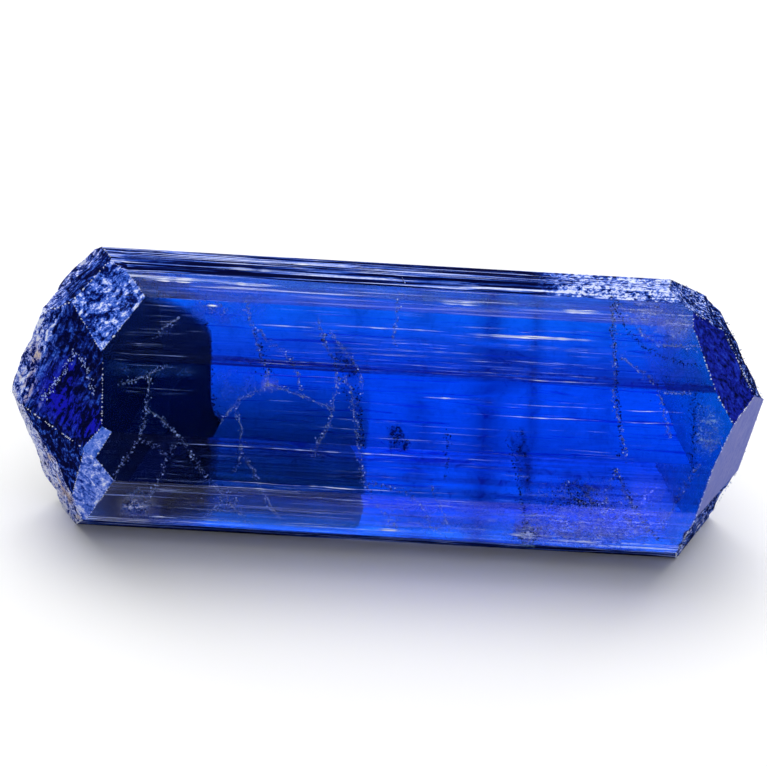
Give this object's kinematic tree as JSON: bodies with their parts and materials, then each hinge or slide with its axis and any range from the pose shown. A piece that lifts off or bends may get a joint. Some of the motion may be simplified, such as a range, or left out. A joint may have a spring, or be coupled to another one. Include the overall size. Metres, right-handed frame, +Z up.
{
  "type": "hydrothermal quartz crystal",
  "caption": "Clear deep-blue hydrothermal quartz prism with a pointed end at each side, lying on a long flat face; a display mineral.",
  "frame": {"origin": "middle of the crystal's footprint, on the plane it rests on", "axes": "+X along the crystal's long axis to its blunter end, -Y the front with the broad polished faces, +Z up from the prism face it lies on"},
  "size_m": [0.0604, 0.0214, 0.0208],
  "materials": {
    "blue_quartz": "glassy, see-through deep blue, with etched and frosted faces"
  },
  "bodies": {
    "root": {"crystal": "blue_quartz"}
  },
  "joints": []
}
